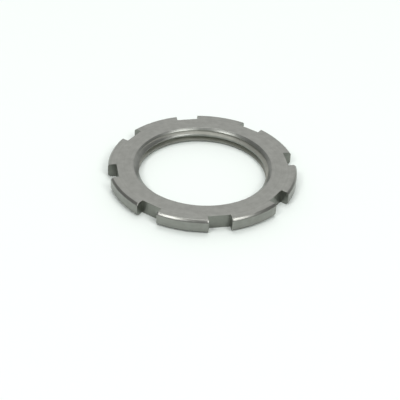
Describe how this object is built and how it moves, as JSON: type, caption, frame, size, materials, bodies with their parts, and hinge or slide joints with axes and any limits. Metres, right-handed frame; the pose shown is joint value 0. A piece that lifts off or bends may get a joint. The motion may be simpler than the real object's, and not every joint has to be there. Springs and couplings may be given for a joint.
{
  "type": "castle nut",
  "caption": "Thin round steel castle nut with a fine-threaded bore and square spanner slots milled through its chamfered rim.",
  "frame": {"origin": "centre of the lower face, on the thread's axis", "axes": "+Z along the thread's axis towards the face with the lead-in, which is up as the nut lies flat; +X through the middle of one spanner slot"},
  "size_m": [0.0418, 0.0418, 0.0032],
  "materials": {
    "machined_steel": "bare turned and milled steel, satin, with faint concentric turning marks on the faces"
  },
  "bodies": {
    "root": {"castle_nut": "machined_steel"}
  },
  "joints": []
}
